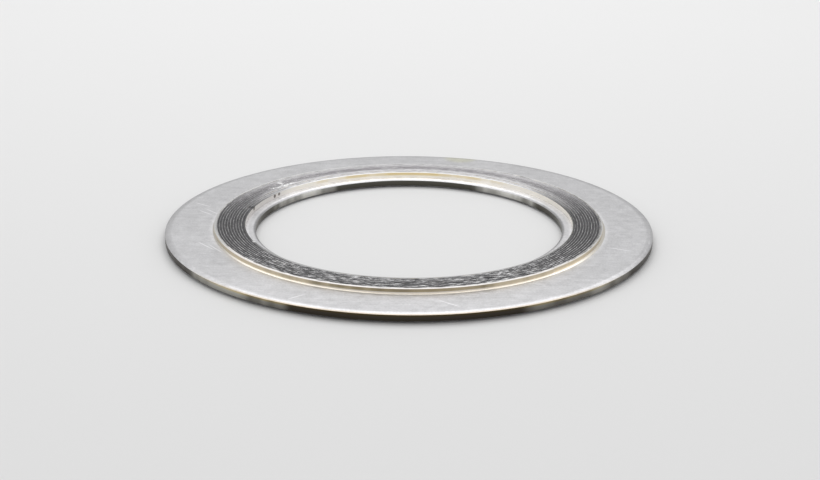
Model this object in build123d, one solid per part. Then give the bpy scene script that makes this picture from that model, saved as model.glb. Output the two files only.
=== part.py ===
from build123d import *
from math import cos, radians
import os

# A spiral wound gasket with an inner ring and an outer centring ring, as it lies on a flat face.
# Millimetres, +Z up. The origin is on the gasket's axis, in the plane of its lower sealing face.

# The winding: a metal strip of V section and a graphite strip, wound together on one spiral
winding_height = 4.5
winding_bore_radius = 50.1  # at the strip's inner end, on its top and bottom edges
vee_depth = 0.65  # how far the strip's crease stands out from its edges
strip_thickness = 0.2
filler_thickness = 0.64
ply_gap = 0.05  # between two turns of the strip with no filler in between
inner_plain_turns = 2
filled_turns = 9
outer_plain_turns = 4.5  # from where the filler ends
winding_seam_angle = 134.0  # where the half turns meet, in degrees from +X
winding_start_angle = 204.0  # where the strip's inner end is

# The outer ring, which has a groove for the crease and rests on the crease's upper flank
outer_ring_width = 14.068  # from the root of its groove to its rim
outer_ring_thickness = 2.5
outer_ring_play = 0.17  # radial, between the groove and the crease at its widest

# The inner ring, whose nose fills the hollow of the strip's innermost turn
inner_ring_width = 3.525  # from the crest of its nose to its bore
inner_ring_thickness = 2.5
inner_ring_lift = 0.25  # its lower face above the lower sealing face

seat_gap = 0.025  # radial, between a ring and the flank of the winding that it rests on

# The rolled-over edges that blanking and tumbling leave on the rings
rim_roll_width = 1.4
rim_roll_drop = 0.35
bore_roll_width = 1.1
bore_roll_drop = 0.4

os.makedirs("parts", exist_ok=True)

half_height = winding_height / 2
crease_slope = vee_depth / half_height
plain_pitch = strip_thickness + ply_gap
filled_pitch = strip_thickness + filler_thickness
start_skip = winding_start_angle - winding_seam_angle


def spiral_nodes():
    """Radii at which the strip's inner face crosses the seam line, at both ends of each half turn.

    Each node lies one pitch outside the node a full turn before it. The pitch is wide only where
    the filler runs, so the strip closes on its own last turn within half a turn of the filler's end.
    """
    first_filled = 2 * inner_plain_turns
    last_filled = first_filled + 2 * filled_turns
    half_turn_count = last_filled + round(2 * outer_plain_turns)
    first_climb = filled_pitch / 2
    climb_before_start = first_climb * (1 - cos(radians(start_skip))) / 2
    first_node = winding_bore_radius - climb_before_start
    nodes = [first_node, first_node + first_climb]
    for index in range(half_turn_count - 1):
        is_filled = first_filled <= index <= last_filled
        nodes.append(nodes[index] + (filled_pitch if is_filled else plain_pitch))
    return nodes, first_filled, last_filled


def half_disc(index, inset, skip=0):
    """All that lies within half a turn of a V-shaped face, about the middle of its two nodes.

    The face is inset outwards from the strip's inner face, and the first skip degrees are left out.
    """
    start, end = nodes[index], nodes[index + 1]
    radius = (start + end) / 2 + inset
    face = [(radius, 0), (radius + vee_depth, half_height), (radius, winding_height)]
    section = Plane.XZ * make_face(Polyline((0, 0), *face, (0, winding_height), close=True))
    disc = Rot(0, 0, skip) * revolve(section, Axis.Z, 180 - skip)
    return Rot(0, 0, winding_seam_angle + 180 * index) * Pos((start - end) / 2, 0, 0) * disc


def strip_half_turn(index):
    skip = start_skip if index == 0 else 0
    return half_disc(index, strip_thickness, skip) - half_disc(index, 0, skip)


def filler_half_turn(index):
    """What lies between a half turn of the strip and the one wound over it."""
    return half_disc(index + 2, 0) - half_disc(index, strip_thickness)


def wind(half_turns):
    """One strip: its half turns, each tangent to the next, as one solid."""
    return half_turns[0].fuse(*half_turns[1:])


def ring(bottom, thickness, crest_height, crest_radius, wall_radius, roll_width, roll_drop):
    """A flat ring with a V that crests at crest_radius, and a wall with rolled edges.

    The wall may be the ring's rim or its bore. The V has the slope of the winding's flanks.
    """
    top = bottom + thickness
    outward = 1 if wall_radius > crest_radius else -1
    roll_start = wall_radius - outward * roll_width
    outline = [
        TangentArc((roll_start, top), (wall_radius, top - roll_drop), tangent=(outward, 0)),
        Line((wall_radius, top - roll_drop), (wall_radius, bottom + roll_drop)),
        TangentArc((roll_start, bottom), (wall_radius, bottom + roll_drop), tangent=(outward, 0)),
        Polyline(
            (roll_start, bottom),
            (crest_radius - crease_slope * (crest_height - bottom), bottom),
            (crest_radius, crest_height),
            (crest_radius - crease_slope * (top - crest_height), top),
            (roll_start, top),
        ),
    ]
    return revolve(Plane.XZ * make_face(outline), Axis.Z, 360)


nodes, first_filled, last_filled = spiral_nodes()
winding_strip = wind([strip_half_turn(index) for index in range(len(nodes) - 1)])

# The filler's two ends are feathered: they thin to the ply gap over half a turn each.
filler_strip = wind([filler_half_turn(index) for index in range(first_filled - 1, last_filled + 1)])

outer_ring_middle = half_height - (outer_ring_play - seat_gap) / crease_slope
groove_radius = max(nodes) + strip_thickness + vee_depth + outer_ring_play
outer_ring = ring(
    outer_ring_middle - outer_ring_thickness / 2,
    outer_ring_thickness,
    outer_ring_middle,
    groove_radius,
    groove_radius + outer_ring_width,
    rim_roll_width,
    rim_roll_drop,
)
nose_radius = winding_bore_radius + vee_depth - seat_gap
inner_ring = ring(
    inner_ring_lift,
    inner_ring_thickness,
    half_height,
    nose_radius,
    nose_radius - inner_ring_width,
    bore_roll_width,
    bore_roll_drop,
)

export_step(winding_strip, "parts/winding_strip.step")
export_step(filler_strip, "parts/filler_strip.step")
export_step(outer_ring, "parts/outer_ring.step")
export_step(inner_ring, "parts/inner_ring.step")
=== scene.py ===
import math

import bpy
import numpy as np
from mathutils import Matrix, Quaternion, Vector

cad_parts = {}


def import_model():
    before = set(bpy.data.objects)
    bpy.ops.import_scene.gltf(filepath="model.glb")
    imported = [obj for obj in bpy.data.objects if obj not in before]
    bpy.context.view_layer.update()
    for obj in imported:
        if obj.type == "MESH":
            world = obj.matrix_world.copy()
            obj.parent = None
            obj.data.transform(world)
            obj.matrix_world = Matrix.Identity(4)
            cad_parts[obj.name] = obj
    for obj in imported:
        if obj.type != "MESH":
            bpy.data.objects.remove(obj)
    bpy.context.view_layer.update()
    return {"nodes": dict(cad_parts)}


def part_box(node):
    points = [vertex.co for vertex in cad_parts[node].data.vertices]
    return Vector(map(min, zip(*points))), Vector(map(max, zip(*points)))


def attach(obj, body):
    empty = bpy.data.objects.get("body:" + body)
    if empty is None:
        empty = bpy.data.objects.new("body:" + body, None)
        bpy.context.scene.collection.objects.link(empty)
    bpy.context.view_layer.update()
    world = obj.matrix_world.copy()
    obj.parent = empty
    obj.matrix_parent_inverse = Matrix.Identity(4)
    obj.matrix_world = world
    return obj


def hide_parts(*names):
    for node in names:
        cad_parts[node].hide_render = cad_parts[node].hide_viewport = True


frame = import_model()

# Lengths in metres and angles in degrees from +X, apart from what is said to be in millimetres
MM = 0.001

# The spiral of the wound strips, as in the CAD model
WINDING_LOW, WINDING_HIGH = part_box("winding_strip")
WINDING_HEIGHT = WINDING_HIGH.z - WINDING_LOW.z
WINDING_BORE_RADIUS = 50.1 * MM
VEE_DEPTH = 0.65 * MM
STRIP_THICKNESS = 0.2 * MM
FILLER_THICKNESS = 0.64 * MM
PLY_GAP = 0.05 * MM
INNER_PLAIN_TURNS = 2
FILLED_TURNS = 9
OUTER_PLAIN_TURNS = 4.5
SEAM_ANGLE = 134.0
START_ANGLE = 204.0
END_ANGLE = 314.0

# The rings, which are the CAD model's own
RIM_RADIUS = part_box("outer_ring")[1].x
RING_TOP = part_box("outer_ring")[1].z
INNER_RING_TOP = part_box("inner_ring")[1].z
LIP_RADIUS = 60.27 * MM  # the outer ring's bore at its upper face

# What the wound strips have beyond the CAD model
LOWER_EDGE = 0.02 * MM  # height of their lower edges
INNER_EDGE_DROP = 0.25 * MM  # how far the bore side is worn down
WORN_FROM = 50.5 * MM
WORN_WIDTH = 2.2 * MM
SHELF_HEIGHT = 0.25 * MM  # the outer plain turns are upright from this far above the outer ring
FILLED_KNEE_DEPTH = 0.9 * MM  # the filled turns are upright from this far below their top
INNER_SEAT_DEPTH = 0.15 * MM  # the inner plain turns leave the V this far below the inner ring's top
INNER_KNEE_RISE = 0.02 * MM  # and are upright from this far above it
LIP_GAP = 0.02 * MM  # between the outermost turn and the outer ring's lip

STRIP_SEED = 11
STRIP_STEP = 0.5 * MM  # between stations along the strip
STRIP_WAVES = ((2.2 * MM, 0.6), (0.9 * MM, 0.4))  # lengths and shares of the dips in its top edge
STRIP_DIP = 0.01 * MM
FILLED_DIP = 0.12 * MM  # the further dip where filler runs
STRIP_BEVEL = 0.04 * MM
OUTERMOST_BEVEL = 0.13 * MM

FILLER_SEED = 23
FILLER_STEP = 0.4 * MM
FILLER_WAVES = ((1.1 * MM, 0.5), (0.5 * MM, 0.5))
FILLER_SHARED_WAVE = 3.0 * MM
FILLER_CRUMB_DEPTH = 0.05 * MM
# Points over its top: share of the way across, and fall below the full height
FILLER_CROWN = ((0.0, 0.05 * MM), (0.16, 0.0), (0.5, 0.0), (0.84, 0.0), (1.0, 0.05 * MM))

SHARP_ANGLE = 30.0

# The photograph's camera
CAMERA_PLACE = Vector((0.0, -0.49818, 0.17250))
CAMERA_AIM = Vector((0.000328, -0.014856, 0.003))
CAMERA_ROLL = 0.334
CAMERA_LENS = 74.81
SENSOR_WIDTH = 36.0
CLIP_START = 0.01

# The studio
FILL_STRENGTH = 0.72
SEEN_STRENGTH = 1.0
LAMP_PLACE = (0.0, 0.45, 0.78)
LAMP_SIZE = (1.0, 0.85)
LAMP_POWER = 4.4
FLOOR_REACH = 3.0
FLOOR_TONE = 0.72
FLOOR_ROUGHNESS = 0.7
FLOOR_SPECULAR = 0.2


# ---------------------------------------------------------------- the spiral
def spiral_nodes():
    """Radii of the strip's inner face at both ends of each half turn, as in the CAD model."""
    plain_pitch = STRIP_THICKNESS + PLY_GAP
    filled_pitch = STRIP_THICKNESS + FILLER_THICKNESS
    first = 2 * INNER_PLAIN_TURNS
    last = first + 2 * FILLED_TURNS
    first_climb = filled_pitch / 2
    skipped = first_climb * (1 - math.cos(math.radians(START_ANGLE - SEAM_ANGLE))) / 2
    nodes = [WINDING_BORE_RADIUS - skipped, WINDING_BORE_RADIUS - skipped + first_climb]
    for index in range(last + round(2 * OUTER_PLAIN_TURNS) - 1):
        nodes.append(nodes[index] + (filled_pitch if first <= index <= last else plain_pitch))
    return nodes, first, last


NODES, FIRST_FILLED, LAST_FILLED = spiral_nodes()


def ease(share):
    """A share from 0 to 1, made to start and stop gently."""
    return share * share * (3 - 2 * share)


def bore_wear(reach):
    """How far the winding is worn below its full height, at a radius near its bore."""
    return INNER_EDGE_DROP * (1 - ease(np.clip((reach - WORN_FROM) / WORN_WIDTH, 0, 1)))


def crease(height):
    """How far the V section stands out at a height."""
    half = WINDING_HEIGHT / 2
    return VEE_DEPTH * (1 - np.abs(height - half) / half)


class Track:
    """Stations along half turns first..last - 1: a face of the strip, and the way outwards."""

    def __init__(self, first, last, step):
        turning, index, inside = [], [], []
        for half in range(first, last):
            skip = math.radians(START_ANGLE - SEAM_ANGLE) if half == 0 else 0.0
            count = max(8, round((math.pi - skip) * NODES[half] / step))
            angle = skip + np.arange(count) / count * (math.pi - skip)
            if half == last - 1:
                angle = np.append(angle, math.pi)
            inside.append(angle)
            index.append(np.full(len(angle), half))
            turning.append(math.radians(SEAM_ANGLE) + math.pi * half + angle)
        self.index = np.concatenate(index)
        self.inside = np.concatenate(inside)
        self.turning = np.concatenate(turning)
        self.out = np.stack([np.cos(self.turning), np.sin(self.turning)], axis=1)
        steps = np.linalg.norm(np.diff(self.face(0), axis=0), axis=1)
        self.length = np.concatenate([[0.0], np.cumsum(steps)])

    def face(self, turns_out, inset=0.0):
        """Points in plan on the strip's inner face, that many half turns further out, plus inset."""
        nodes = np.array(NODES)
        start, end = nodes[self.index + turns_out], nodes[self.index + turns_out + 1]
        base = math.radians(SEAM_ANGLE) + math.pi * self.index
        centre = ((start - end) / 2)[:, None] * np.stack([np.cos(base), np.sin(base)], axis=1)
        return centre + ((start + end) / 2 + inset)[:, None] * self.out


def wander(rng, length, scale):
    """Smooth random values from 0 to 1 along a length, with bumps about scale long."""
    knots = rng.random(int(length[-1] / scale) + 3)
    place = length / scale
    left = place.astype(int)
    share = ease(place - left)
    return knots[left] * (1 - share) + knots[left + 1] * share


def waves(rng, length, parts):
    """Several such lines of values, each with its own scale and share, added up."""
    return sum(wander(rng, length, scale) * share for scale, share in parts)


def band(name, track, inner, outer, section, material):
    """A closed band between two faces, with (share across, height, lean outwards) round its section."""
    across, heights, lean = [
        np.stack([np.broadcast_to(value, track.length.shape) for value in values], axis=1)
        for values in zip(*section)
    ]
    plan = inner[:, None, :] * (1 - across[:, :, None]) + outer[:, None, :] * across[:, :, None]
    plan = plan + track.out[:, None, :] * lean[:, :, None]
    points = np.concatenate([plan, heights[:, :, None]], axis=2).reshape(-1, 3)
    rows, columns = heights.shape
    here = np.arange(rows - 1)[:, None] * columns + np.arange(columns)[None, :]
    beside = np.arange(rows - 1)[:, None] * columns + (np.arange(columns)[None, :] + 1) % columns
    faces = np.stack([here, here + columns, beside + columns, beside], axis=2).reshape(-1, 4)
    faces = faces.tolist()
    faces.append(list(range(columns)))
    faces.append(list(range((rows - 1) * columns, rows * columns))[::-1])
    mesh = bpy.data.meshes.new(name)
    mesh.from_pydata(points.tolist(), [], faces)
    mesh.validate()
    mesh.update()
    mesh.shade_smooth()
    mesh.set_sharp_from_angle(angle=math.radians(SHARP_ANGLE))
    mesh.materials.append(material)
    piece = bpy.data.objects.new(name, mesh)
    bpy.context.scene.collection.objects.link(piece)
    return piece


# ---------------------------------------------------------------- materials
class Nodes:
    """A new material's nodes, with a short call for each kind that is used here."""

    def __init__(self, name):
        self.material = bpy.data.materials.new(name)
        self.material.use_nodes = True
        self.tree = self.material.node_tree
        self.shader = self.tree.nodes["Principled BSDF"]
        self.point = self.add("ShaderNodeTexCoord", output="Object")
        self.x, self.y, self.z = self.split(self.point)
        flat = self.add("ShaderNodeCombineXYZ", {0: self.x, 1: self.y})
        self.radius = self.add("ShaderNodeVectorMath", {0: flat}, output="Value", operation="LENGTH")

    def add(self, kind, values=(), output=0, **settings):
        """A new node with its inputs and settings, as the output that is wanted."""
        node = self.tree.nodes.new(kind)
        for key, value in settings.items():
            setattr(node, key, value)
        for socket, value in dict(values).items():
            self.give(node.inputs[socket], value)
        return node.outputs[output]

    def give(self, socket, value):
        """Link a node's output to a socket, or set a plain value on it."""
        if isinstance(value, bpy.types.NodeSocket):
            self.tree.links.new(value, socket)
        else:
            socket.default_value = value

    def split(self, vector):
        """A vector's three parts."""
        node = self.tree.nodes.new("ShaderNodeSeparateXYZ")
        self.tree.links.new(vector, node.inputs[0])
        return node.outputs

    def math(self, operation, first, second=0.0, third=0.0):
        return self.add("ShaderNodeMath", {0: first, 1: second, 2: third}, operation=operation)

    def times(self, first, second):
        return self.math("MULTIPLY", first, second)

    def times_add(self, first, second, added):
        return self.math("MULTIPLY_ADD", first, second, added)

    def most(self, first, *others):
        """The highest of several masks."""
        for other in others:
            first = self.math("MAXIMUM", first, other)
        return first

    def ramp(self, value, low, high, to_low=0.0, to_high=1.0, smooth=True):
        """From to_low where value is at low, to to_high where it is at high."""
        kind = "SMOOTHSTEP" if smooth else "LINEAR"
        return self.add("ShaderNodeMapRange",
                        {"Value": value, "From Min": low, "From Max": high,
                         "To Min": to_low, "To Max": to_high}, interpolation_type=kind)

    def mix(self, share, first, second, blend="MIX"):
        """A blend of two colours, on the sockets that the Mix node keeps for colours."""
        node = self.tree.nodes.new("ShaderNodeMix")
        node.data_type = "RGBA"
        node.blend_type = blend
        self.give(node.inputs[0], share)
        self.give(node.inputs[6], first)
        self.give(node.inputs[7], second)
        return node.outputs[2]

    def noise(self, vector, scale, detail=2.0, rough=0.5):
        return self.add("ShaderNodeTexNoise",
                        {"Vector": vector, "Scale": scale, "Detail": detail, "Roughness": rough})

    def swing(self, vector, scale, rough=0.6):
        """Noise from -1 to 1."""
        return self.ramp(self.noise(vector, scale, 3.0, rough), 0.3, 0.7, -1.0, 1.0, smooth=False)

    def round_noise(self, along, across, detail=2.0, rough=0.5):
        """Noise of along bumps per metre round the part, and of across bumps per metre outwards."""
        share = self.math("DIVIDE", along * RIM_RADIUS, self.radius)
        place = self.add("ShaderNodeCombineXYZ", {
            0: self.times(self.x, share),
            1: self.times(self.y, share),
            2: self.times(self.radius, across),
        })
        return self.noise(place, 1.0, detail, rough)

    def sideways(self):
        """0 in front and behind, 1 at the two sides."""
        return self.math("ABSOLUTE", self.math("DIVIDE", self.x, self.radius))

    def diagonal(self):
        """0 in front, at the sides and behind, 0.5 halfway between them."""
        corner = self.math("DIVIDE", self.times(self.x, self.y), self.times(self.radius, self.radius))
        return self.math("ABSOLUTE", corner)

    def level(self):
        """1 on level faces, 0 on upright ones."""
        normal = self.add("ShaderNodeNewGeometry", output="Normal")
        return self.math("ABSOLUTE", self.split(normal)[2])

    def spot(self, angle, radius, height, size):
        """1 within half of size from a place, falling to 0 at size. The lengths in millimetres."""
        turn = math.radians(angle)
        place = Vector((radius * math.cos(turn), radius * math.sin(turn), height)) * MM
        apart = self.add("ShaderNodeVectorMath", {0: self.point, 1: place}, output="Value",
                         operation="DISTANCE")
        return self.ramp(apart, size * MM, size * MM / 2)

    def stroke(self, start, end, width):
        """1 along a straight scratch between two places in plan, falling to 0. In millimetres."""
        start, end = Vector(start) * MM, Vector(end) * MM
        way = (end - start).normalized()
        along = self.times_add(self.x, way.x, self.times_add(self.y, way.y, -start.dot(way)))
        offset = start.x * way.y - start.y * way.x
        across = self.times_add(self.x, -way.y, self.times_add(self.y, way.x, offset))
        length = (end - start).length
        fade = 0.3 * length
        inside = self.times(self.ramp(along, 0.0, fade), self.ramp(along, length, length - fade))
        return self.times(inside, self.ramp(self.math("ABSOLUTE", across), width * MM, 0.0))

    def smears(self):
        return self.most(*[self.stroke(*smear) for smear in WINDING_SMEARS])

    def chips(self):
        """Ragged patches that break up the smears."""
        return self.ramp(self.round_noise(900.0, 1300.0, 3.0, 0.7), 0.36, 0.5)

    def finish(self, colour, rough, height=None, distance=0.00003, strength=0.4):
        """Connect the colour, the roughness and, where it is given, the bumps. Their distance is in
        metres."""
        self.give(self.shader.inputs["Base Color"], colour)
        self.give(self.shader.inputs["Roughness"], rough)
        if height is not None:
            bump = {"Height": height, "Distance": distance, "Strength": strength}
            self.give(self.shader.inputs["Normal"], self.add("ShaderNodeBump", bump))
        return self.material


def grey(tone):
    return (tone, tone, tone, 1.0)


# Many tones below are painted reflections, painted highlights and painted shade. They change with the
# place on the part, as the metal mirrored its room. They belong to the place, not to the camera, and
# don't follow the lamps.

# Scratches on the outer ring's upper face, in plan, and their width, in millimetres
SCRATCH_WIDTH = 0.35
RING_SCRATCHES = (
    ((-64.8, 14.4), (-59.4, 8.3)),
    ((-66.9, 13.2), (-61.2, 7.4)),
    ((-68.8, 20.4), (-62.4, 15.6)),
    ((-64.0, -16.4), (-57.0, -25.2)),
    ((-60.2, -18.9), (-54.2, -28.0)),
    ((7.6, -63.9), (14.6, -69.7)),
    ((-28.0, -60.0), (-33.5, -64.6)),
    ((58.5, -20.4), (66.9, -24.2)),
)

# Pale smears across the winding at the back left, in plan, and their widths, in millimetres
WINDING_SMEARS = (
    ((-43.4, 37.9), (-41.4, 35.6), 1.3),
    ((-42.4, 34.9), (-39.2, 33.4), 1.8),
    ((-46.0, 29.9), (-40.8, 33.6), 0.9),
    ((-41.0, 34.6), (-37.2, 38.0), 1.0),
    ((-39.6, 32.6), (-36.4, 35.6), 0.9),
)

# Spots by angle, with radius, height and size in millimetres
TOP_MM = WINDING_HEIGHT / MM
RING_STAIN = (76.0, 74.0, RING_TOP / MM, 7.0)
FILLER_SMEAR = (147.0, 54.5, TOP_MM, 9.0)
# Painted shade: the two notch spots paint the dark of a notch that the mesh doesn't cut
STRIP_NOTCH_SHADE = (166.5, 50.6, TOP_MM, 1.6)
FILLER_NOTCH_SHADE = (166.5, 50.9, TOP_MM, 1.6)
STRIP_ENDS = (
    (START_ANGLE, 50.2, TOP_MM - INNER_EDGE_DROP / MM, 1.0),
    (END_ANGLE, 59.9, TOP_MM, 0.8),
)
SPOT_WELDS = (
    (147.0, 50.3, 3.75, 0.7),
    (149.7, 50.3, 3.65, 0.8),
    (166.4, 50.3, 4.1, 1.1),
)

# Places and radii between which a look changes. Most bound painted reflections, painted highlights
# and painted shade; the fringe ones bound a yellow painted fringe under the front highlight
RING_FRINGE_PLACES = (-38 * MM, -64 * MM)
RIM_FRINGE_RADII = (74.1 * MM, 74.5 * MM)
CUT_SHADE_HEIGHTS = (0.4 * MM, 2.6 * MM)
CUT_FRINGE_HEIGHTS = (1.9 * MM, 2.45 * MM)
STRIP_FRONT_PLACES = (-14 * MM, -38 * MM)
STRIP_BACK_PLACES = (14 * MM, 44 * MM)
STRIP_SIDE_HEIGHTS = (WINDING_HEIGHT - 0.5 * MM, WINDING_HEIGHT - 0.9 * MM)
RIM_TURNS_RADII = (59.35 * MM, 59.7 * MM)
BORE_TURNS_RADII = (51.1 * MM, 50.8 * MM)
FOOT_HEIGHTS = (RING_TOP + 2.3 * SHELF_HEIGHT, RING_TOP + 1.2 * SHELF_HEIGHT)
FOOT_LINE_HEIGHTS = (RING_TOP + 1.15 * SHELF_HEIGHT, RING_TOP + 1.0 * SHELF_HEIGHT)
BORE_TINT_AND_REFLECTION_HEIGHTS = (3.0 * MM, 3.6 * MM)
BORE_LEFT_PLACES = (-36 * MM, -44 * MM)
BORE_TO_RIM_RADII = (51.4 * MM, 51.8 * MM)
FILLER_FRONT_PLACES = (-24 * MM, -48 * MM)
FILLER_BURNISH_AND_SHEEN_PLACES = (8 * MM, 50 * MM)
FILLER_RIM_RADII = (55.8 * MM, 58.2 * MM)
FILLER_BORE_RADII = (54.4 * MM, 52.0 * MM)

# Each ring's face changes between two tones from one place to another along Y, a painted reflection
# on the steel's tone, and its rolled edge between two shares of them, a painted highlight and painted
# shade. The edge rolls between two radii, and the face is lighter at its seat, next to the winding, as
# painted light. The cut walls change between a dull and a bright colour, both painted reflections.
OUTER_RING_LOOK = {
    "face_reflection_tones": (0.43, 0.37),
    "face_reflection_places": (-66 * MM, -36 * MM),
    "roll_radii": (72.3 * MM, 73.4 * MM),
    "roll_highlight_shares": (1.12, 0.82),
    "roll_highlight_places": (-50 * MM, -20 * MM),
    "seat_light_radii": (61.8 * MM, 60.3 * MM),
    "dull_cut_reflection": (0.055, 0.047, 0.037, 1),
    "bright_cut_reflection": (0.46, 0.45, 0.41, 1),
}
INNER_RING_LOOK = {
    "face_reflection_tones": (0.4, 0.74),
    "face_reflection_places": (6 * MM, 46 * MM),
    "roll_radii": (48.1 * MM, 47.5 * MM),
    "roll_highlight_shares": (0.5, 0.56),
    "roll_highlight_places": (6 * MM, 46 * MM),
    "seat_light_radii": (49.0 * MM, 49.8 * MM),
    "dull_cut_reflection": (0.1, 0.095, 0.08, 1),
    "bright_cut_reflection": (0.75, 0.74, 0.7, 1),
}


def ring_face(n, look, patches, grain):
    """The cloudy, brushed and scratched face, with its rolled edge and a stain, and with a painted
    reflection from front to back, a painted highlight and shade on the rolled edge, painted light at the
    seat and a painted yellow fringe along the front rim.
    """
    # Painted reflection: the face's tone changes from front to back
    base = n.ramp(n.y, *look["face_reflection_places"], *look["face_reflection_tones"])
    # Painted highlight and painted shade: the rolled edge's share of that tone changes from front to
    # back
    roll = n.ramp(n.y, *look["roll_highlight_places"], *look["roll_highlight_shares"])
    rolled = n.ramp(n.radius, *look["roll_radii"])
    base = n.times(base, n.times_add(n.math("SUBTRACT", roll, 1.0), rolled, 1.0))

    clouds = n.swing(n.point, 60.0)
    along_brush = n.add("ShaderNodeMapping", {"Vector": n.point,
                                              "Rotation": (0.0, 0.0, math.radians(38)),
                                              "Scale": (90.0, 1400.0, 90.0)})
    brushed = n.swing(along_brush, 1.0)
    scratches = n.most(*[n.stroke(start, end, SCRATCH_WIDTH) for start, end in RING_SCRATCHES])
    # Painted light: the face is made lighter at its seat, next to the winding
    share = n.ramp(n.radius, *look["seat_light_radii"], 1.0, 1.22)
    for texture, depth in ((clouds, 0.06), (patches, 0.09), (grain, 0.12), (brushed, 0.06),
                           (scratches, 0.45)):
        share = n.times_add(texture, depth, share)
    tone = n.times(base, share)
    face = n.add("ShaderNodeCombineColor", {0: tone, 1: n.times(tone, 0.995), 2: n.times(tone, 1.015)})

    face = n.mix(n.times(n.spot(*RING_STAIN), 0.6), face, (1.0, 1.0, 0.72, 1), "MULTIPLY")
    # Painted highlight fringe: yellow along the front rim, under its highlight
    face_highlight_fringe = n.times(n.ramp(n.radius, *RIM_FRINGE_RADII), n.ramp(n.y, *RING_FRINGE_PLACES))
    return n.mix(face_highlight_fringe, face, (0.9, 0.8, 0.66, 1), "MULTIPLY")


def ring_cut(n, look):
    """The cut walls, in painted reflections and painted shade: bright on the diagonals and at the sides,
    darker towards the bottom as painted shade, and a painted yellow fringe of the front highlight along
    the front top.
    """
    streaks = n.ramp(n.round_noise(90.0, 900.0), 0.3, 0.7, -0.05, 0.05)
    # Painted reflection: bright on the diagonals and at the sides, dull in front and behind
    bright = n.ramp(n.math("ADD", n.diagonal(), streaks), 0.38, 0.54)
    bright = n.most(bright, n.ramp(n.sideways(), 0.97, 1.0, 0.0, 0.15))
    cut = n.mix(bright, look["dull_cut_reflection"], look["bright_cut_reflection"])
    # Painted shade: darker towards the bottom
    cut = n.mix(n.ramp(n.z, *CUT_SHADE_HEIGHTS, 0.35, 0.0), cut, grey(0.0))
    # Painted highlight fringe: yellow along the front top, under the rolled edge's highlight
    cut_highlight_fringe = n.times(n.ramp(n.z, *CUT_FRINGE_HEIGHTS), n.ramp(n.y, *RING_FRINGE_PLACES))
    return n.mix(cut_highlight_fringe, cut, (1.3, 1.1, 0.66, 1), "MULTIPLY")


def ring_steel(name, look):
    """Sheet steel, cloudy and a little scratched, with rolled edges and cut edges whose tints are
    painted reflections, painted shade and a painted highlight fringe.
    """
    n = Nodes(name)
    n.shader.inputs["Metallic"].default_value = 1.0
    patches = n.swing(n.point, 380.0)
    grain = n.swing(n.point, 1700.0, 0.7)
    wall = n.ramp(n.level(), 0.75, 0.45)
    colour = n.mix(wall, ring_face(n, look, patches, grain), ring_cut(n, look))
    return n.finish(colour, n.times_add(patches, 0.04, 0.42), n.times_add(grain, 0.5, patches))


def strip_edge(n):
    """The strip's top edge: smeared with graphite over the filled turns and bright on the plain ones,
    with painted glints, painted highlights and painted shade that change from front to sides to back.
    """
    front = n.ramp(n.y, *STRIP_FRONT_PLACES)
    back = n.ramp(n.y, *STRIP_BACK_PLACES)
    dashes = n.round_noise(260.0, 2200.0, 2.0, 0.6)
    streaks = n.round_noise(300.0, 1500.0)
    # The graphite smears are real; their brightness from front to sides to back is painted glint and
    # painted reflection
    filled = n.mix(front, n.ramp(streaks, 0.35, 0.65, 0.14, 0.34), n.ramp(dashes, 0.44, 0.62, 0.14, 0.7))
    filled = n.mix(back, filled, n.ramp(dashes, 0.4, 0.6, 0.2, 0.6))

    ragged_radius = n.times_add(dashes, 0.9 * MM, n.radius)
    # Painted highlight: the outer plain turns' edges are near white in front, grey elsewhere
    rim_turns = n.mix(front, grey(0.57), (0.92, 0.885, 0.86, 1))
    # Painted light and painted shade: the inner plain turns' edges are light behind, grey in front and
    # dark at the sides
    bore_turns = n.mix(back, n.mix(front, grey(0.08), grey(0.4)), grey(0.9))
    edge = n.mix(n.ramp(ragged_radius, *RIM_TURNS_RADII), filled, rim_turns)
    edge = n.mix(n.ramp(n.radius, *BORE_TURNS_RADII), edge, bore_turns)
    # Painted shade: a black spot where a notch is
    edge = n.mix(n.spot(*STRIP_NOTCH_SHADE), edge, grey(0.02))
    marks = n.most(n.smears(), *[n.spot(*end) for end in STRIP_ENDS])
    return n.mix(n.times(marks, n.chips()), edge, grey(0.8))


def strip_outside(n, streaks):
    """The outer wall: olive to gold, partly a tint of the metal and partly painted reflection, lighter
    and greyer towards the sides as painted reflection, with a painted pale reflection at its foot
    against the outer ring.
    """
    sideways = n.sideways()
    # Olive to gold: partly a tint of the metal, partly painted reflection
    olive = n.mix(streaks, (0.36, 0.3, 0.2, 1), (0.52, 0.43, 0.28, 1))
    # Painted reflection: lighter cream towards the sides, and grey at the sides
    paler_reflection = n.ramp(n.times_add(streaks, 0.25, sideways), 0.3, 0.85)
    outside = n.mix(paler_reflection, olive, (0.95, 0.83, 0.62, 1))
    outside = n.mix(n.ramp(sideways, 0.82, 0.95, 0.0, 0.35), outside, grey(0.3))
    # Painted reflection: a pale foot in front and behind, and a thin line along the bottom, pale in
    # front and behind and dark grey at the sides
    pale = n.mix(n.ramp(sideways, 0.75, 0.97), (0.86, 0.825, 0.77, 1), (0.36, 0.34, 0.3, 1))
    foot = n.times(n.ramp(sideways, 0.65, 0.25), n.ramp(n.z, *FOOT_HEIGHTS))
    foot = n.most(foot, n.ramp(n.z, *FOOT_LINE_HEIGHTS))
    return n.mix(foot, outside, pale)


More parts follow.
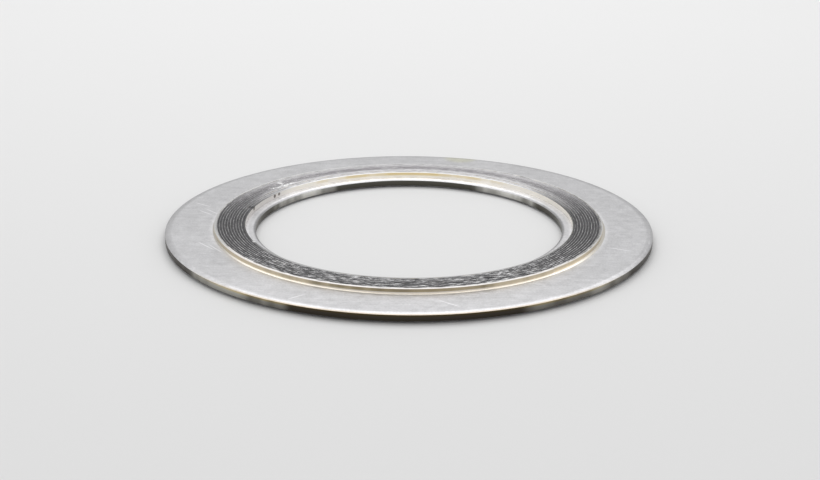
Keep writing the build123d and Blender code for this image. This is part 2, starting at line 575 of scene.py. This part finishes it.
def strip_inside(n, streaks):
    """The inner wall: near white and greyer on the left, both painted reflection, and gold along the top
    in front and behind, partly a tint of the metal and partly painted reflection.
    """
    # Gold along the top in front and behind: partly a tint of the metal, partly painted reflection
    gold_tint_and_reflection = n.times(n.ramp(n.times_add(streaks, 0.3, n.sideways()), 0.85, 0.25),
                     n.ramp(n.z, *BORE_TINT_AND_REFLECTION_HEIGHTS, 0.1, 1.0))
    # Painted reflection: a near-white wall, greyer on the left
    inside = n.mix(n.ramp(n.x, *BORE_LEFT_PLACES), (0.97, 0.93, 0.85, 1), (0.75, 0.72, 0.69, 1))
    return n.mix(gold_tint_and_reflection, inside, (0.82, 0.665, 0.37, 1))


def strip_steel():
    """Worn strip: graphite smeared over its filled turns, bright plain turns and gold-tinted sides, with
    painted highlights, painted reflections and painted shade that change round the part.
    """
    n = Nodes("strip_steel_worn")
    n.shader.inputs["Metallic"].default_value = 1.0
    side = n.most(n.ramp(n.level(), 0.6, 0.35), n.ramp(n.z, *STRIP_SIDE_HEIGHTS))
    streaks = n.ramp(n.round_noise(120.0, 1200.0, 3.0), 0.3, 0.7)
    walls = n.mix(n.ramp(n.radius, *BORE_TO_RIM_RADII), strip_inside(n, streaks),
                  strip_outside(n, streaks))
    welds = n.most(*[n.spot(*weld) for weld in SPOT_WELDS])
    walls = n.mix(n.times(welds, 0.85), walls, (0.1, 0.08, 0.07, 1))
    rough = n.ramp(side, 0.0, 1.0, 0.3, 0.38, smooth=False)
    return n.finish(n.mix(side, strip_edge(n), walls), rough)


def graphite():
    """Crumbly dark filler, with painted glints in front and a silvery grey along the back that is partly
    burnishing and partly painted sheen.
    """
    n = Nodes("graphite_crumbly")
    n.shader.inputs["Specular IOR Level"].default_value = 0.25
    crumbs = n.round_noise(1500.0, 3500.0, 3.0, 0.6)
    flakes = n.round_noise(300.0, 2900.0, 3.0, 0.65)
    clouds = n.round_noise(60.0, 300.0, 3.0, 0.6)
    front = n.ramp(n.y, *FILLER_FRONT_PLACES)
    # Painted glints: pale flecks in front only
    front_glints = n.times(n.ramp(flakes, 0.5, 0.68), front)
    # The silvery back: partly burnishing, partly painted sheen
    burnish_and_sheen = n.ramp(n.times_add(clouds, 14 * MM, n.y), *FILLER_BURNISH_AND_SHEEN_PLACES)
    mark = n.times(n.smears(), n.chips())
    smear = n.times(n.spot(*FILLER_SMEAR), 0.5)
    polish_and_sheen = n.most(n.times(burnish_and_sheen, n.ramp(crumbs, 0.3, 0.7, 0.75, 1.0)), smear, mark,
                      n.times(front_glints, 0.9))
    # Painted shade: no sheen at the notch
    polish_and_sheen = n.times(polish_and_sheen, n.math("SUBTRACT", 1.0, n.spot(*FILLER_NOTCH_SHADE)))

    dark = n.mix(n.ramp(flakes, 0.35, 0.6), (0.018, 0.017, 0.0185, 1), (0.056, 0.053, 0.058, 1))
    # Painted sheen: lighter bands near the rim and near the bore
    paler_reflection = n.most(n.times(n.ramp(n.radius, *FILLER_RIM_RADII), 0.5),
                   n.ramp(n.radius, *FILLER_BORE_RADII))
    light = n.mix(paler_reflection, (0.26, 0.25, 0.26, 1), (0.66, 0.65, 0.66, 1))
    # Painted glints: the front's sheen colour is made whiter, as are the real smears
    light = n.mix(n.most(mark, n.times(front, 0.6)), light, grey(0.8))
    n.give(n.shader.inputs["Metallic"], n.times(polish_and_sheen, 0.9))
    rough = n.math("SUBTRACT", n.ramp(crumbs, 0.3, 0.7, 0.55, 0.8), n.times(polish_and_sheen, 0.2))
    return n.finish(n.mix(polish_and_sheen, dark, light), rough, crumbs, distance=0.00006, strength=0.8)


# ---------------------------------------------------------------- pieces
def wound_strip(material):
    """The metal strip, whose top edge dips where the filler was squeezed over it.

    The V of its plain turns has upright edges above the rings, where the photograph shows them.
    """
    rng = np.random.default_rng(STRIP_SEED)
    track = Track(0, len(NODES) - 1, STRIP_STEP)
    inner = track.face(0)
    outer = track.face(0, STRIP_THICKNESS)
    place = track.index + track.inside / math.pi
    in_bore = np.clip(FIRST_FILLED + 1 - place, 0, 1)
    in_rim = np.clip(place - LAST_FILLED - 1, 0, 1)
    between = 1 - in_bore - in_rim
    outermost = track.index >= len(NODES) - 3

    dip = waves(rng, track.length, STRIP_WAVES) * (FILLED_DIP * between + STRIP_DIP)
    top = WINDING_HEIGHT - dip - bore_wear(np.linalg.norm(inner, axis=1))
    low = np.full_like(top, LOWER_EDGE)
    half = WINDING_HEIGHT / 2
    seat = in_bore * (INNER_RING_TOP - INNER_SEAT_DEPTH) + (in_rim + between) * RING_TOP
    knee = in_bore * (INNER_RING_TOP + INNER_KNEE_RISE) + in_rim * (RING_TOP + SHELF_HEIGHT)
    knee = knee + between * (WINDING_HEIGHT - FILLED_KNEE_DEPTH)
    to_lip = LIP_RADIUS - LIP_GAP - np.linalg.norm(outer, axis=1)
    half_lean = np.where(outermost, np.maximum(to_lip, VEE_DEPTH), VEE_DEPTH)
    seat_lean = np.where(outermost, to_lip, crease(seat))
    knee_lean = between * crease(knee)

    bevel = np.where(outermost, OUTERMOST_BEVEL, STRIP_BEVEL)
    section = [
        (0.0, low, 0.0),
        (1.0, low, 0.0),
        (1.0, half, half_lean),
        (1.0, seat, seat_lean),
        (1.0, knee, knee_lean),
        (1.0, top - bevel, 0.0),
        (1 - bevel / STRIP_THICKNESS, top, 0.0),
        (STRIP_BEVEL / STRIP_THICKNESS, top, 0.0),
        (0.0, top - STRIP_BEVEL, 0.0),
        (0.0, knee, knee_lean),
        (0.0, seat, seat_lean),
        (0.0, half, half_lean),
    ]
    return band("wound_steel_strip", track, inner, outer, section, material)


def wound_filler(material):
    """The graphite strip, crowned and crumbly along its top."""
    rng = np.random.default_rng(FILLER_SEED)
    track = Track(FIRST_FILLED - 1, LAST_FILLED + 1, FILLER_STEP)
    inner = track.face(0, STRIP_THICKNESS)
    outer = track.face(2)
    drops = [waves(rng, track.length, FILLER_WAVES) for _ in FILLER_CROWN]
    shared = wander(rng, track.length, FILLER_SHARED_WAVE)
    full = WINDING_HEIGHT - bore_wear(np.linalg.norm(inner, axis=1))
    crown = [(across, full - fall - FILLER_CRUMB_DEPTH * (0.5 * drop + 0.5 * shared))
             for (across, fall), drop in zip(FILLER_CROWN, drops)]
    low = np.full_like(track.length, LOWER_EDGE)
    half = WINDING_HEIGHT / 2
    section = [(0.0, low), (0.5, low), (1.0, low), (1.0, half), (1.0, RING_TOP)]
    section += crown[::-1]
    section += [(0.0, RING_TOP), (0.0, half)]
    section = [(across, height, crease(height)) for across, height in section]
    return band("wound_graphite_filler", track, inner, outer, section, material)


def dress_rings():
    """Give the CAD model's own rings their steels."""
    for node, look in (("outer_ring", OUTER_RING_LOOK), ("inner_ring", INNER_RING_LOOK)):
        steel = ring_steel(node + "_steel", look)
        for slot in frame["nodes"][node].material_slots:
            slot.material = steel


# ---------------------------------------------------------------- studio
def floor():
    mesh = bpy.data.meshes.new("floor")
    reach = FLOOR_REACH
    mesh.from_pydata([(-reach, -reach, 0), (reach, -reach, 0), (reach, reach, 0), (-reach, reach, 0)],
                     [], [(0, 1, 2, 3)])
    piece = bpy.data.objects.new("floor", mesh)
    bpy.context.scene.collection.objects.link(piece)
    n = Nodes("floor_paper")
    n.shader.inputs["Base Color"].default_value = grey(FLOOR_TONE)
    n.shader.inputs["Roughness"].default_value = FLOOR_ROUGHNESS
    n.shader.inputs["Specular IOR Level"].default_value = FLOOR_SPECULAR
    mesh.materials.append(n.material)


def world():
    """A pale studio: white where it is seen or mirrored, with a plain fill light."""
    made = bpy.data.worlds.new("studio")
    bpy.context.scene.world = made
    made.use_nodes = True
    tree = made.node_tree
    tree.nodes.clear()
    path = tree.nodes.new("ShaderNodeLightPath")
    shown = path.outputs["Is Camera Ray"]
    for way in ("Is Glossy Ray", "Is Transmission Ray"):
        either = tree.nodes.new("ShaderNodeMath")
        either.operation = "MAXIMUM"
        tree.links.new(shown, either.inputs[0])
        tree.links.new(path.outputs[way], either.inputs[1])
        shown = either.outputs[0]
    mixed = tree.nodes.new("ShaderNodeMixShader")
    tree.links.new(shown, mixed.inputs[0])
    for socket, strength in ((1, FILL_STRENGTH), (2, SEEN_STRENGTH)):
        light = tree.nodes.new("ShaderNodeBackground")
        light.inputs["Color"].default_value = grey(1.0)
        light.inputs["Strength"].default_value = strength
        tree.links.new(light.outputs[0], mixed.inputs[socket])
    out = tree.nodes.new("ShaderNodeOutputWorld")
    tree.links.new(mixed.outputs[0], out.inputs[0])


def overhead_lamp():
    """One wide, soft lamp above the back of the part, aimed at its middle."""
    light = bpy.data.lights.new("overhead", "AREA")
    light.shape = "RECTANGLE"
    light.size, light.size_y = LAMP_SIZE
    light.energy = LAMP_POWER
    lamp = bpy.data.objects.new("overhead", light)
    lamp.location = LAMP_PLACE
    lamp.rotation_euler = (-Vector(LAMP_PLACE)).to_track_quat("-Z", "Y").to_euler()
    bpy.context.scene.collection.objects.link(lamp)


def camera():
    data = bpy.data.cameras.new("camera")
    data.lens = CAMERA_LENS
    data.sensor_width = SENSOR_WIDTH
    data.clip_start = CLIP_START
    made = bpy.data.objects.new("camera", data)
    made.location = CAMERA_PLACE
    made.rotation_mode = "QUATERNION"
    aim = (CAMERA_AIM - CAMERA_PLACE).to_track_quat("-Z", "Y")
    made.rotation_quaternion = aim @ Quaternion((0, 0, 1), math.radians(CAMERA_ROLL))
    bpy.context.scene.collection.objects.link(made)
    bpy.context.scene.camera = made


dress_rings()
strip = wound_strip(strip_steel())
filler = wound_filler(graphite())
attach(strip, "root")
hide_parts("winding_strip")
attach(filler, "root")
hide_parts("filler_strip")
floor()
world()
overhead_lamp()
camera()
bpy.context.scene.view_settings.view_transform = "Standard"
